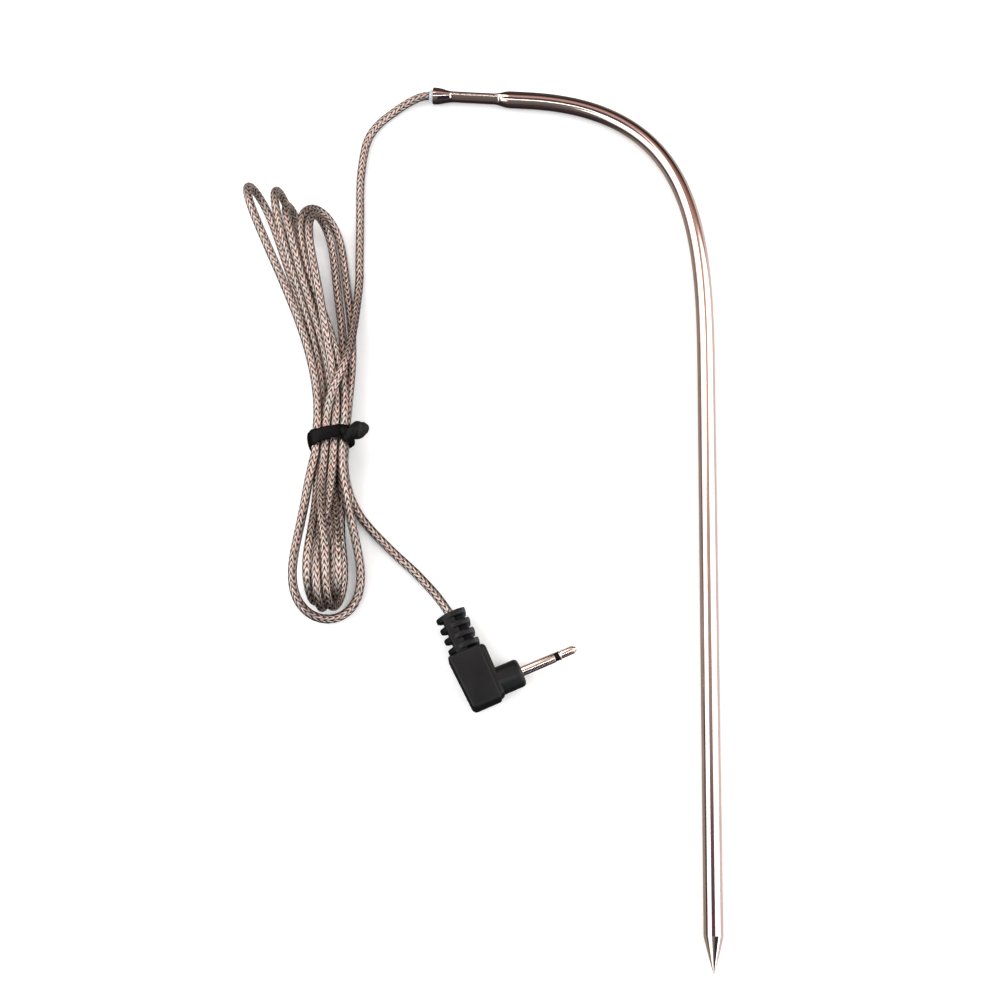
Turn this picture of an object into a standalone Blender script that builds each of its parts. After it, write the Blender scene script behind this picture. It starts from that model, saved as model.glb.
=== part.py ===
"""Leave-in meat thermometer probe: a bent stainless sheath with a pointed tip, its thermistor and wires,
a steel-braided cable folded into a tied hank, and a right-angle two-pole plug. Metres, +Z up.

The probe lies flat on z = 0. Its shaft runs along Y with the point towards -Y, the bend is at +Y and the
crimped mouth opens towards -X. The origin is the middle of the probe's base."""

import bmesh
import bpy
import numpy as np
from math import cos, pi, radians, sin
from mathutils import Matrix, Vector

MM = 0.001

# Probe sheath
TUBE_R = 2.38 * MM
TUBE_WALL = 0.5 * MM
PROBE_WIDTH = 82.25 * MM
PROBE_LENGTH = 242.97 * MM
CONE_LENGTH = 8.8 * MM
SHAFT_LENGTH = 151.7 * MM
BEND_RUN = Vector((-51.0, 88.15)) * MM
BEND_HANDLES = (42.9 * MM, 51.5 * MM)
LEAD_LENGTH = 27.7 * MM
LEAD_SLOPE = radians(-1.53)

# Crimp: distances from the mouth, and the half sizes of the squeezed neck across and up
RIM_LENGTH = 1.2 * MM
NECK = (6.7 * MM, 17.8 * MM)
CRIMP_END = 22.5 * MM
NECK_HALF = (1.4 * MM, 1.95 * MM)

# Sensor end
SHAFT_X = PROBE_WIDTH / 2 - TUBE_R
TIP_Y = -PROBE_LENGTH / 2
CONE_Y = TIP_Y + CONE_LENGTH
WIRE_OFFSET = 0.8 * MM
WIRE_R = 0.4 * MM
CONDUCTOR_R = 0.17 * MM
LEG_R = 0.15 * MM
SPLICE_Y = CONE_Y + 13.0 * MM
SPLICE_LENGTH = 6.0 * MM
SPLICE_CRIMP_R = (0.45 * MM, 0.27 * MM)
SPLICE_SLEEVE_R = (0.68 * MM, 0.55 * MM)
SLEEVE_SHIFT = 0.8 * MM
BEAD_Y = CONE_Y + 5.3 * MM
BEAD_R = 0.72 * MM
BEAD_HALF = 1.3 * MM
LEG_SPREAD = 0.3 * MM
POTTING_R = (1.7 * MM, 0.95 * MM)
POTTING_RUN = (2.8 * MM, 3.8 * MM, 10.0 * MM)
FIT_GAP = 0.15 * MM
SPIGOT_LENGTH = 2.4 * MM
POINT_BLUNT = 0.15 * MM
POINT_CURVE = 1.25

# Cable, its hank and the tie
CABLE_R = 1.2 * MM
LINER_R = (1.35 * MM, 1.72 * MM)
LINER_OUT = 1.2 * MM
LINER_IN = 1.6 * MM
GAP = 0.3 * MM
TIE_Y = 11.0 * MM
TIE_X = -62.2 * MM
TIE_HALF_WIDTH = 1.5 * MM
TIE_HALF_THICK = 0.85 * MM
WAIST_HALF = (5.2 * MM, 3.2 * MM)
WAIST_Z = 5.2 * MM
TIE_YAW = radians(8)
TIE_END_R = 1.2 * MM
TIE_TWIST_R = 0.95 * MM
TIE_END_FROM = Vector((3.2, 0.5, 1.4)) * MM
TIE_END_TO = Vector((8.8, 3.8, 0.6)) * MM
BAND_SQUARENESS = 0.72

# Plug: its frame has +X along the pin and +Y towards the cable
PLUG_AT = Vector((-19.5, -54.5, 4.3)) * MM
PLUG_YAW = radians(25.2)
BODY_X = (-5.05 * MM, 5.05 * MM)
BODY_Y = (-4.6 * MM, 10.4 * MM)
BODY_HALF_HEIGHT = 4.3 * MM
RELIEF_END = 21.0 * MM
FIN_PITCH = 2.85 * MM
FIN_LENGTH = 1.75 * MM
COLLAR_R = 3.7 * MM
COLLAR_END = 11.0 * MM
PIN_R = 1.25 * MM
SLEEVE_END = COLLAR_END + 9.2 * MM
RING_END = SLEEVE_END + 1.2 * MM
PIN_END = RING_END + 4.9 * MM
BODY_BEVEL = 1.5 * MM
COLLAR_RIM = 0.6 * MM
WEB_HALF = (2.3 * MM, 2.9 * MM)
WEB_START = 8.0 * MM
FIN_HALF = 3.95 * MM
FIN_GROWTH = 0.1 * MM
HOLLOW = ((-3.6 * MM, -3.0 * MM, -2.9 * MM), (3.9 * MM, 8.0 * MM, 2.9 * MM))
BLOCK = ((-3.3 * MM, -2.7 * MM, -2.6 * MM), (3.6 * MM, 5.0 * MM, 2.6 * MM))
POCKET = ((-2.5 * MM, -1.9 * MM, -1.8 * MM), (2.4 * MM, 6.0 * MM, 1.8 * MM))

# Jack, from the pin's outside in: sleeve bore, insulator tube, insulator bore, tip core
SLEEVE_BORE_R = 0.8 * MM
INSULATOR_R = 0.68 * MM
INSULATOR_BORE_R = 0.5 * MM
CORE_R = 0.38 * MM
TIP_R = 0.95 * MM
PIN_BACK = 1.9 * MM
HALF_JOINT = 0.05 * MM

# Plug wiring: each lug's start, end and half width, and each joint's lug side and wire's place along X
LUGS = {"sleeve_lug": (1.45, 1.75, 1.55, 0.85), "tip_lug": (-0.15, 0.35, 1.55, 0.2)}
LUG_TOP = 3.6 * MM
JOINTS = {"a": (-0.75, -0.65), "b": (0.95, 0.85)}
JOINT_R = 0.42 * MM
JOINT_Y = 2.4 * MM
PLUG_WIRE_R = 0.36 * MM
PLUG_WIRE_Y = (3.0 * MM, 4.2 * MM, 6.4 * MM)
CABLE_END_Y = 6.7 * MM
FERRULE_R = 1.75 * MM
FERRULE_RUN = (5.3 * MM, 7.8 * MM)

# Route of the cable from the mouth to the hank, and from the hank to the plug, in millimetres
LEAD_IN_ROUTE = [
    (-43.7, 118.6, 2.2), (-47.7, 116.5, 1.7), (-51.3, 113.7, 1.35), (-54.6, 110.6, 1.25),
    (-57.0, 107.3, 1.22), (-58.4, 103.8, 1.22), (-59.0, 100.2, 1.22), (-59.35, 96.3, 1.22),
    (-59.5, 92.2, 1.22), (-59.4, 86.9, 1.22), (-59.0, 80.6, 1.22), (-58.5, 70.2, 1.22),
    (-58.2, 64.0, 1.22), (-57.9, 59.0, 1.3),
]
LEAD_OUT_ROUTE = [
    (-53.4, -9.3, 1.22), (-50.2, -12.9, 1.22), (-46.3, -16.7, 1.22), (-42.6, -20.1, 1.22),
    (-39.0, -23.2, 1.35), (-35.6, -26.6, 1.9), (-32.5, -30.0, 2.9), (-30.1, -33.1, 3.8),
]

# Hank outline: distance along Y, left and right sides, bottom and top, in millimetres
HANK_STATIONS = [
    (89.6, -90.2, -84.0, 1.2, 13.0), (87.0, -92.0, -79.0, 0.2, 16.0), (80.0, -91.2, -66.5, 0.0, 17.0),
    (70.0, -87.4, -62.0, 0.0, 17.0), (60.0, -83.2, -59.2, 0.0, 16.0), (50.0, -78.8, -56.4, 0.0, 14.0),
    (38.0, -73.8, -55.6, 0.0, 12.0), (27.0, -69.8, -55.8, 0.6, 10.0), (17.0, -67.4, -57.0, 2.0, 8.4),
    (5.0, -67.4, -57.0, 2.0, 8.4), (-4.0, -68.6, -55.8, 0.8, 9.0), (-14.0, -71.0, -53.4, 0.0, 12.0),
    (-24.0, -71.8, -51.4, 0.0, 14.5), (-32.0, -70.6, -52.2, 0.0, 14.0), (-37.0, -66.6, -55.2, 0.4, 11.0),
    (-39.4, -63.4, -58.0, 1.2, 7.0),
]


def collection(name):
    made = bpy.data.collections.new(name)
    bpy.context.scene.collection.children.link(made)
    return made


def material(name, colour, roughness, metallic):
    made = bpy.data.materials.new(name)
    made.use_nodes = True
    shader = made.node_tree.nodes["Principled BSDF"]
    shader.inputs["Base Color"].default_value = (*colour, 1)
    shader.inputs["Roughness"].default_value = roughness
    shader.inputs["Metallic"].default_value = metallic
    return made


def clear_scene():
    for obj in list(bpy.data.objects):
        bpy.data.objects.remove(obj, do_unlink=True)


def add(name, data, finish=None, group=None):
    """An object of this mesh or curve, in the parts collection unless another is given."""
    obj = bpy.data.objects.new(name, data)
    (group or PARTS).objects.link(obj)
    if finish:
        data.materials.append(finish)
    return obj


def add_bmesh(name, bm, finish=None, group=None, weld=1e-7):
    bmesh.ops.remove_doubles(bm, verts=bm.verts, dist=weld)
    bmesh.ops.recalc_face_normals(bm, faces=bm.faces)
    mesh = bpy.data.meshes.new(name)
    bm.to_mesh(mesh)
    bm.free()
    return add(name, mesh, finish, group)


def as_mesh(obj, group=None):
    """The object's evaluated shape as a plain mesh object under the same name and placing."""
    bpy.context.view_layer.update()
    evaluated = obj.evaluated_get(bpy.context.evaluated_depsgraph_get())
    mesh = bpy.data.meshes.new_from_object(evaluated)
    name, place = obj.name, obj.matrix_world.copy()
    groups = [group] if group else list(obj.users_collection)
    bpy.data.objects.remove(obj, do_unlink=True)
    bm = bmesh.new()
    bm.from_mesh(mesh)
    bmesh.ops.remove_doubles(bm, verts=bm.verts, dist=1e-6)
    bm.to_mesh(mesh)
    bm.free()
    made = bpy.data.objects.new(name, mesh)
    made.matrix_world = place
    for each in groups:
        each.objects.link(made)
    return made


def boolean(obj, other, operation):
    """Joins other to obj or cuts it away, for good, and removes other."""
    modifier = obj.modifiers.new(operation.title(), "BOOLEAN")
    modifier.operation = operation
    modifier.object = other
    made = as_mesh(obj)
    bpy.data.objects.remove(other, do_unlink=True)
    return made


def cutter(obj):
    for group in list(obj.users_collection):
        group.objects.unlink(obj)
    CUTTERS.objects.link(obj)
    obj.hide_render = True
    obj.display_type = "WIRE"
    return obj


def smooth(obj, angle=radians(30)):
    obj.data.shade_smooth()
    obj.data.set_sharp_from_angle(angle=angle)
    return obj


def aimed(obj, at, along):
    """Puts the object's +Z along a direction, with its origin at a point."""
    turn = Vector(along).to_track_quat("Z", "Y").to_matrix().to_4x4()
    obj.matrix_world = Matrix.Translation(at) @ turn
    return obj


def in_plug(obj):
    """Places an object that was made in the plug's own frame."""
    place = Matrix.Translation(PLUG_AT) @ Matrix.Rotation(PLUG_YAW, 4, "Z")
    obj.matrix_world = place @ obj.matrix_world
    return obj


def turned(name, profile, finish, steps=24, closed=False):
    """A turned piece from (radius, height) points that run down its outer side."""
    bm = bmesh.new()
    points = [bm.verts.new((r, 0, z)) for r, z in profile]
    for a, b in zip(points, points[1:]):
        bm.edges.new((a, b))
    if closed:
        bm.edges.new((points[-1], points[0]))
    mesh = bpy.data.meshes.new(name)
    bm.to_mesh(mesh)
    bm.free()
    obj = add(name, mesh, finish)
    screw = obj.modifiers.new("Screw", "SCREW")
    screw.axis = "Z"
    screw.steps = steps
    screw.render_steps = steps
    screw.use_merge_vertices = True
    screw.merge_threshold = 1e-6
    return obj


def rod(name, radius, low, high, finish, steps=24):
    return turned(name, [(0, high), (radius, high), (radius, low), (0, low)], finish, steps)


def pipe(name, outer, inner, low, high, finish, steps=24):
    profile = [(outer, high), (outer, low), (inner, low), (inner, high)]
    return turned(name, profile, finish, steps, closed=True)


def wire(name, points, radius, finish, radii=None, resolution=2):
    """A round wire along points, as a curve with filled ends."""
    data = bpy.data.curves.new(name, "CURVE")
    data.dimensions = "3D"
    data.bevel_depth = radius
    data.bevel_resolution = resolution
    data.use_fill_caps = True
    spline = data.splines.new("POLY")
    spline.points.add(len(points) - 1)
    for i, point in enumerate(points):
        spline.points[i].co = (*point, 1)
        spline.points[i].radius = radii[i] if radii else 1
    return add(name, data, finish)


def box(name, low, high, finish=None, bevel=0, segments=2):
    bm = bmesh.new()
    bmesh.ops.create_cube(bm, size=1)
    size = Vector(high) - Vector(low)
    bmesh.ops.scale(bm, verts=bm.verts, vec=size)
    bmesh.ops.translate(bm, verts=bm.verts, vec=(Vector(high) + Vector(low)) / 2)
    obj = add_bmesh(name, bm, finish)
    if bevel:
        edges = obj.modifiers.new("Bevel", "BEVEL")
        edges.width = bevel
        edges.segments = segments
    return obj


def loft(name, rings, finish, inner_rings=None):
    """A closed body through rings of points. With inner rings it is a pipe, open at both ends."""
    bm = bmesh.new()
    outer = [[bm.verts.new(p) for p in ring] for ring in rings]
    inner = [[bm.verts.new(p) for p in ring] for ring in inner_rings or []]
    for shell in (outer, inner):
        for a, b in zip(shell, shell[1:]):
            for i in range(len(a)):
                j = (i + 1) % len(a)
                bm.faces.new((a[i], a[j], b[j], b[i]))
    for end in (0, -1):
        if not inner:
            bm.faces.new(outer[end])
            continue
        a, b = outer[end], inner[end]
        for i in range(len(a)):
            j = (i + 1) % len(a)
            bm.faces.new((a[i], a[j], b[j], b[i]))
    return smooth(add_bmesh(name, bm, finish))


def smooth_route(points, spacing):
    """Points at an even spacing on a smooth curve through the route's own points (Catmull-Rom)."""
    p = np.array(points, float)
    p = np.vstack([2 * p[0] - p[1], p, 2 * p[-1] - p[-2]])
    dense = []
    for a, b, c, d in zip(p, p[1:], p[2:], p[3:]):
        for t in np.linspace(0, 1, 12, endpoint=False):
            dense.append(0.5 * (2 * b + (c - a) * t + (2 * a - 5 * b + 4 * c - d) * t**2
                                + (3 * b - a - 3 * c + d) * t**3))
    dense = np.array(dense + [p[-2]])
    run = np.concatenate([[0], np.cumsum(np.linalg.norm(np.diff(dense, axis=0), axis=1))])
    at = np.linspace(0, run[-1], max(2, int(round(run[-1] / spacing)) + 1))
    return [Vector([np.interp(s, run, dense[:, k]) for k in range(3)]) for s in at]


# The probe's centre line: mouth, lead, bend and shaft

BEND_END = Vector((SHAFT_X, TIP_Y + SHAFT_LENGTH))
BEND_START = BEND_END + BEND_RUN
LEAD_WAY = Vector((cos(LEAD_SLOPE), sin(LEAD_SLOPE)))
MOUTH = BEND_START - LEAD_WAY * LEAD_LENGTH


def bend_point(t):
    b = BEND_START + LEAD_WAY * BEND_HANDLES[1]
    c = BEND_END + Vector((0, BEND_HANDLES[0]))
    u = 1 - t
    return BEND_START * u**3 + b * 3 * u * u * t + c * 3 * u * t * t + BEND_END * t**3


def centre_line(lead_steps, bend_steps, shaft_ys):
    """Points and headings from the mouth to the end of the shaft, in the plane of the tube's axis."""
    flat = [MOUTH + LEAD_WAY * s for s in lead_steps]
    flat += [bend_point(t) for t in np.linspace(0, 1, bend_steps + 1)]
    flat += [Vector((SHAFT_X, y)) for y in shaft_ys]
    ways = [(b - a).normalized() for a, b in zip(flat, flat[1:])]
    heads = [ways[0]] + [(a + b).normalized() for a, b in zip(ways, ways[1:])] + [ways[-1]]
    return [(Vector((p.x, p.y, TUBE_R)), Vector((w.x, w.y, 0))) for p, w in zip(flat, heads)]


def offset_line(line, side):
    """The centre line moved sideways in its plane, as wires lie inside the tube."""
    return [p + Vector((-w.y, w.x, 0)) * side for p, w in line]


def squeeze(s):
    """How far the tube is squeezed, 0 to 1, at a distance from the mouth."""
    ramp = min((s - RIM_LENGTH) / (NECK[0] - RIM_LENGTH), (CRIMP_END - s) / (CRIMP_END - NECK[1]), 1)
    ramp = max(ramp, 0)
    return ramp * ramp * (3 - 2 * ramp)


def ellipse(point, way, across, up, sides):
    side = Vector((-way.y, way.x, 0))
    turn = [2 * pi * i / sides for i in range(sides)]
    return [point + side * (across * cos(a)) + Vector((0, 0, up * sin(a))) for a in turn]


def crimp_steps():
    marks = [0, RIM_LENGTH, *np.linspace(RIM_LENGTH, NECK[0], 6)[1:], NECK[1]]
    return [float(s) for s in (*marks, *np.linspace(NECK[1], CRIMP_END, 6)[1:])]


def crimped_sections(steps, radius, neck, sides, line):
    """Rings whose size follows the crimp, from the tube's own radius to the neck's half sizes."""
    rings = []
    for s, (point, way) in zip(steps, line):
        k = squeeze(s)
        size = [radius + (n - radius) * k for n in neck]
        rings.append(ellipse(point, way, *size, sides))
    return rings


def make_sheath():
    steps = crimp_steps()
    line = centre_line(steps, 30, [CONE_Y + 0.05 * MM])
    distance = steps + [CRIMP_END + 1] * (len(line) - len(steps))
    bore = TUBE_R - TUBE_WALL
    bore_neck = [n - TUBE_WALL for n in NECK_HALF]
    outer = crimped_sections(distance, TUBE_R, NECK_HALF, 20, line)
    inner = crimped_sections(distance, bore, bore_neck, 20, line)
    loft("sheath_tube", outer, STEEL, inner)


def make_mouth():
    """The liner that guards the cable at the mouth, and the end of the cable held in the crimp."""
    way = Vector((*LEAD_WAY, 0))
    mouth = Vector((*MOUTH, TUBE_R))
    liner = pipe("mouth_liner", LINER_R[1], LINER_R[0], -LINER_OUT, LINER_IN, LINER)
    smooth(aimed(liner, mouth, way))
    steps = [-LINER_OUT, *crimp_steps()[:-3]]
    line = [(mouth + way * s, way) for s in steps]
    neck = [n - TUBE_WALL - FIT_GAP for n in NECK_HALF]
    loft("cable_end_in_crimp", crimped_sections(steps, CABLE_R, neck, 12, line), BRAID)


def make_point():
    """The welded point: a slightly convex cone on a spigot that fills the end of the tube."""
    spigot = TUBE_R - TUBE_WALL - FIT_GAP
    steps = np.linspace(0, 1, 9)
    cone = [(TUBE_R * (1 - t**POINT_CURVE) + POINT_BLUNT * t, CONE_LENGTH * t) for t in steps]
    profile = [(0, CONE_LENGTH), *reversed(cone), (spigot, 0), (spigot, -SPIGOT_LENGTH), (0, -SPIGOT_LENGTH)]
    point = turned("point_plug", profile, STEEL)
    smooth(aimed(point, (SHAFT_X, CONE_Y, TUBE_R), (0, -1, 0)))


def make_sensor():
    """Potting with the bead in its cup, the bead's two legs, and the splices to the wires."""
    outer, inner = POTTING_R
    low, floor, high = POTTING_RUN
    cup = [(0, floor), (inner, floor), (inner, high), (outer, high), (outer, low), (0, low)]
    potting = turned("tip_potting", cup, POTTING)
    smooth(aimed(potting, (SHAFT_X, CONE_Y, TUBE_R), (0, 1, 0)))
    r = BEAD_R
    arc = [(r * sin(a), (BEAD_HALF - r) + r * cos(a)) for a in np.linspace(0, pi / 2, 6)]
    capsule = arc + [(x, -z) for x, z in reversed(arc)]
    bead = turned("thermistor_bead", capsule, GLASS, steps=16)
    smooth(aimed(bead, (SHAFT_X, BEAD_Y, TUBE_R), (0, 1, 0)), radians(60))
    for letter, side in (("a", -1), ("b", 1)):
        near = side * LEG_SPREAD
        far = side * WIRE_OFFSET
        bead_end = BEAD_Y + BEAD_HALF
        ys = (bead_end + 0.1 * MM, bead_end + 1.2 * MM, SPLICE_Y - 1.5 * MM, SPLICE_Y + 2 * MM)
        leg = [(SHAFT_X + x, y, TUBE_R) for x, y in zip((near, near, far, far), ys)]
        wire(f"thermistor_leg_{letter}", leg, LEG_R, TINNED)
        at = (SHAFT_X + far, SPLICE_Y, TUBE_R)
        crimp = pipe(f"splice_crimp_{letter}", *SPLICE_CRIMP_R, 0, SPLICE_LENGTH, TINNED, steps=16)
        smooth(aimed(crimp, at, (0, 1, 0)))
        sleeve = pipe(f"splice_sleeve_{letter}", *SPLICE_SLEEVE_R, -SLEEVE_SHIFT,
                      SPLICE_LENGTH - SLEEVE_SHIFT - 0.1 * MM, SLEEVING, steps=16)
        smooth(aimed(sleeve, at, (0, 1, 0)))


def make_probe_wires():
    """Two insulated wires from the crimped cable end, round the bend and down to the splices."""
    stripped = SPLICE_Y + SPLICE_LENGTH + 0.5 * MM
    shaft = list(np.linspace(BEND_END.y, stripped, 9)[1:])
    line = centre_line([19.9 * MM, 23 * MM], 20, shaft)
    end = Vector((SHAFT_X, SPLICE_Y + 3.2 * MM, TUBE_R))
    start = Vector((SHAFT_X, stripped - 0.1 * MM, TUBE_R))
    tail = [(start, Vector((0, -1, 0))), (end, Vector((0, -1, 0)))]
    radii = [1] * len(line) + [CONDUCTOR_R / WIRE_R] * 2
    for letter, side in (("a", -1), ("b", 1)):
        wire(f"probe_wire_{letter}", offset_line(line + tail, -side * WIRE_OFFSET), WIRE_R,
             SLEEVING, radii)


def make_cable():
    """The free cable as one tube each side of the hank, and the hank's outer shape."""
    mouth = Vector((*MOUTH, TUBE_R)) - Vector((*LEAD_WAY, 0)) * (LINER_OUT + GAP)
    lead_in = [mouth] + [Vector(p) * MM for p in LEAD_IN_ROUTE]
    wire("cable_lead_in", smooth_route(lead_in, 2.4 * MM), CABLE_R, BRAID)
    toward = Matrix.Rotation(PLUG_YAW, 3, "Z")
    relief = PLUG_AT + toward @ Vector((0, RELIEF_END + GAP, 0))
    lead_out = [Vector(p) * MM for p in LEAD_OUT_ROUTE] + [relief]
    wire("cable_lead_out", smooth_route(lead_out, 2.4 * MM), CABLE_R, BRAID)
    table = np.array(HANK_STATIONS) * MM
    rings = []
    for y in np.unique(np.concatenate([table[:, 0], (table[1:, 0] + table[:-1, 0]) / 2]))[::-1]:
        left, right, low, high = (np.interp(-y, -table[:, 0], table[:, k]) for k in range(1, 5))
        rings.append(hank_ring(y, left, right, low, high))
    loft("cable_hank", rings, BRAID)


def hank_ring(y, left, right, low, high, sides=20):
    """A rounded four-sided section across the hank."""
    ring = []
    for i in range(sides):
        a = 2 * pi * i / sides
        x = abs(cos(a)) ** 0.7 * (1 if cos(a) > 0 else -1)
        z = abs(sin(a)) ** 0.7 * (1 if sin(a) > 0 else -1)
        ring.append(Vector(((left + right) / 2 + x * (right - left) / 2, y,
                            (low + high) / 2 + z * (high - low) / 2)))
    return ring


def make_tie():
    """A coated wire tie: a flat band round the hank's waist, with its two ends twisted together."""
    across = WAIST_HALF[0] + GAP + TIE_HALF_THICK
    up = WAIST_HALF[1] + GAP + TIE_HALF_THICK
    bm = bmesh.new()
    rings = []
    steps, sides = 40, 10
    for i in range(steps):
        a = 2 * pi * i / steps
        flat = [abs(v) ** BAND_SQUARENESS * (1 if v > 0 else -1) for v in (cos(a), sin(a))]
        centre = Vector((across * flat[0], 0, up * flat[1]))
        out = Vector((flat[0] / across, 0, flat[1] / up)).normalized()
        turn = [2 * pi * k / sides for k in range(sides)]
        rings.append([bm.verts.new(centre + out * (TIE_HALF_THICK * cos(b))
                                   + Vector((0, TIE_HALF_WIDTH * sin(b), 0))) for b in turn])
    for a, b in zip(rings, rings[1:] + rings[:1]):
        for k in range(sides):
            bm.faces.new((a[k], a[(k + 1) % sides], b[(k + 1) % sides], b[k]))
    band = add_bmesh("twist_tie", bm, TIE)
    band.matrix_world = Matrix.Translation((TIE_X, TIE_Y, WAIST_Z)) @ Matrix.Rotation(TIE_YAW, 4, "Z")
    top = Vector((TIE_X, TIE_Y, WAIST_Z + up))
    start, end = top + TIE_END_FROM, top + TIE_END_TO
    for i in range(2):
        strand = wire(f"tie_end_{i}", twisted(start, end, pi * i), TIE_END_R, TIE)
        band = boolean(band, as_mesh(strand), "UNION")
    smooth(band)


def twisted(start, end, phase, turns=1.0, radius=TIE_TWIST_R, steps=16):
    """One strand of a two-strand twist between two points."""
    way = (end - start).normalized()
    side = way.orthogonal().normalized()
    other = way.cross(side)
    points = []
    for t in np.linspace(0, 1, steps):
        a = phase + 2 * pi * turns * t
        points.append(start.lerp(end, t) + (side * cos(a) + other * sin(a)) * radius)
    return points


def make_overmould():
    """The plug's outer moulding: body, collar and finned strain relief, hollow for the inner block."""
    low = (BODY_X[0], BODY_Y[0], -BODY_HALF_HEIGHT)
    high = (BODY_X[1], BODY_Y[1], BODY_HALF_HEIGHT)
    body = as_mesh(box("plug_overmould", low, high, PLASTIC, bevel=BODY_BEVEL, segments=3))
    profile = [(0, COLLAR_END), (COLLAR_R - COLLAR_RIM, COLLAR_END), (COLLAR_R, COLLAR_END - COLLAR_RIM),
               (COLLAR_R, 0), (0, 0)]
    collar = aimed(turned("collar", profile, PLASTIC, steps=32), (0, 0, 0), (1, 0, 0))
    body = boolean(body, as_mesh(collar), "UNION")
    side, up = WEB_HALF
    web = box("web", (-side, WEB_START, -up), (side, RELIEF_END - 0.2 * MM, up))
    body = boolean(body, web, "UNION")
    for i in range(4):
        end = RELIEF_END - i * FIN_PITCH
        half = FIN_HALF + FIN_GROWTH * i
        fin = box("fin", (-half, end - FIN_LENGTH, -half + 0.2 * MM), (half, end, half - 0.2 * MM),
                  bevel=0.35 * MM, segments=1)
        body = boolean(body, as_mesh(fin), "UNION")
    hollow = box("hollow", *HOLLOW)
    body = boolean(body, cutter(hollow), "DIFFERENCE")
    pin_way = aimed(rod("pin_way", PIN_R + FIT_GAP, 2 * MM, 12 * MM, None), (0, 0, 0), (1, 0, 0))
    body = boolean(body, cutter(as_mesh(pin_way)), "DIFFERENCE")
    cable_way = aimed(rod("cable_way", CABLE_R + FIT_GAP, 6 * MM, 23 * MM, None), (0, 0, 0), (0, 1, 0))
    body = boolean(body, cutter(as_mesh(cable_way)), "DIFFERENCE")
    smooth(in_plug(body))


def make_premould():
    """The inner block that holds the contacts: a slotted shell, open towards the cable."""
    block = box("plug_premould", *BLOCK, PLASTIC)
    pocket = box("pocket", *POCKET)
    block = boolean(block, cutter(pocket), "DIFFERENCE")
    way = aimed(rod("sleeve_way", PIN_R + FIT_GAP, 2 * MM, 5 * MM, None), (0, 0, 0), (1, 0, 0))
    block = boolean(block, cutter(as_mesh(way)), "DIFFERENCE")
    in_plug(block)


def make_jack():
    """Sleeve, insulator and tip contact, one inside the other along the pin's axis."""
    sleeve = pipe("jack_sleeve", PIN_R, SLEEVE_BORE_R, PIN_BACK, SLEEVE_END - HALF_JOINT, NICKEL)
    back = PIN_BACK - 0.5 * MM
    ring = [(PIN_R, RING_END - HALF_JOINT), (PIN_R, SLEEVE_END + HALF_JOINT),
            (INSULATOR_R, SLEEVE_END + HALF_JOINT), (INSULATOR_R, back), (INSULATOR_BORE_R, back),
            (INSULATOR_BORE_R, RING_END - HALF_JOINT)]
    insulator = turned("jack_insulator", ring, RING, closed=True)
    tip = [(0, PIN_END), (0.3 * MM, PIN_END - 0.1 * MM), (TIP_R, PIN_END - 1.1 * MM),
           (TIP_R, RING_END + 1.9 * MM), (0.72 * MM, RING_END + 1.3 * MM),
           (0.78 * MM, RING_END + 0.9 * MM), (PIN_R - 0.1 * MM, RING_END + 0.75 * MM),
           (PIN_R, RING_END + 0.6 * MM), (PIN_R, RING_END + HALF_JOINT), (CORE_R, RING_END + HALF_JOINT),
           (CORE_R, 0.6 * MM), (0, 0.6 * MM)]
    contact = turned("jack_tip", tip, NICKEL)
    for piece in (sleeve, insulator, contact):
        smooth(in_plug(aimed(piece, (0, 0, 0), (1, 0, 0))))


def make_plug_wiring():
    """The two lugs, their solder, the two wires, and the cable end with its crimped ferrule."""
    for name, numbers in LUGS.items():
        low, high, half, hole = (n * MM for n in numbers)
        lug = box(name, (low, -half, -half), (high, LUG_TOP, half), NICKEL)
        way = aimed(rod("way", hole, -1 * MM, 3 * MM, None), (0, 0, 0), (1, 0, 0))
        in_plug(boolean(lug, cutter(as_mesh(way)), "DIFFERENCE"))
    for letter, (x, end) in JOINTS.items():
        blob = bmesh.new()
        bmesh.ops.create_uvsphere(blob, u_segments=12, v_segments=8, radius=JOINT_R)
        solder = add_bmesh(f"solder_joint_{letter}", blob, TINNED)
        solder.location = (x * MM, JOINT_Y, 0)
        bpy.context.view_layer.update()
        smooth(in_plug(solder))
        route = [(end * MM, y, 0) for y in PLUG_WIRE_Y]
        in_plug(wire(f"plug_wire_{letter}", route, PLUG_WIRE_R, SLEEVING))
    cable = aimed(rod("cable_end_in_plug", CABLE_R, CABLE_END_Y, RELIEF_END, BRAID, steps=16),
                  (0, 0, 0), (0, 1, 0))
    smooth(in_plug(cable))
    ferrule = aimed(pipe("braid_ferrule", FERRULE_R, CABLE_R + FIT_GAP, *FERRULE_RUN, NICKEL),
                    (0, 0, 0), (0, 1, 0))
    smooth(in_plug(ferrule))


clear_scene()
PARTS = collection("meat_thermometer")
CUTTERS = collection("cutters")
STEEL = material("steel", (0.62, 0.60, 0.57), 0.18, 1)
BRAID = material("steel_braid", (0.42, 0.38, 0.34), 0.4, 1)
LINER = material("liner", (0.55, 0.63, 0.70), 0.5, 0)
TIE = material("tie_coating", (0.02, 0.02, 0.02), 0.4, 0)
PLASTIC = material("moulded_plastic", (0.03, 0.033, 0.035), 0.5, 0)
RING = material("ring_plastic", (0.02, 0.02, 0.02), 0.4, 0)
NICKEL = material("nickel", (0.66, 0.62, 0.57), 0.15, 1)
TINNED = material("tinned_wire", (0.6, 0.6, 0.6), 0.35, 1)
SLEEVING = material("wire_sleeving", (0.8, 0.78, 0.72), 0.55, 0)
POTTING = material("potting", (0.75, 0.72, 0.65), 0.6, 0)
GLASS = material("bead_glass", (0.15, 0.08, 0.05), 0.2, 0)

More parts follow.
